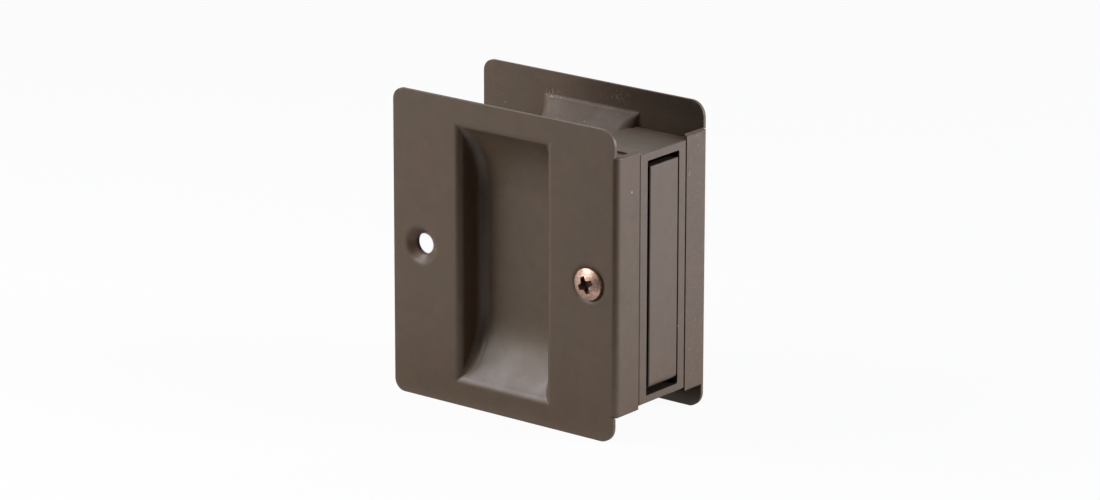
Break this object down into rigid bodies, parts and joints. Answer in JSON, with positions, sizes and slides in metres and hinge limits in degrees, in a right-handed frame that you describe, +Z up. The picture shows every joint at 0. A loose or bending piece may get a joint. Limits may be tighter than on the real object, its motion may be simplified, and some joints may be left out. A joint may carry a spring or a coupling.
{
  "type": "pocket door pull",
  "caption": "Pocket door pull of stamped face plates with deep finger cups, folded edge flanges and a flush edge pull that swings out of a housing between them.",
  "frame": {"origin": "middle of the footprint, on the surface that the bottom edges of both plates stand on", "axes": "+X towards the door's edge and the edge pull, +Y through the door from the front plate to the rear plate, +Z up"},
  "size_m": [0.0708, 0.0402, 0.0794],
  "materials": {
    "bronze": "satin dark bronze on steel sheet",
    "cast_bronze": "satin dark bronze on a casting",
    "copper": "antique copper plate on steel",
    "steel": "plain"
  },
  "bodies": {
    "frame": {"front_plate": "bronze", "rear_plate": "bronze", "edge_housing": "cast_bronze", "pivot_pin": "steel", "return_spring": "steel", "plate_screws": "copper"},
    "pull": {"edge_pull": "cast_bronze"}
  },
  "joints": [
    {"name": "edge_pull_hinge", "type": "hinge", "parent": "frame", "child": "pull", "pos_m": [0.03157, 0, 0.0158], "axis": [0, 1, 0], "range_deg": [0, 75], "stiffness_Nm_per_rad": 0.004, "springref_deg": -40.11, "deforming": ["return_spring"]}
  ]
}
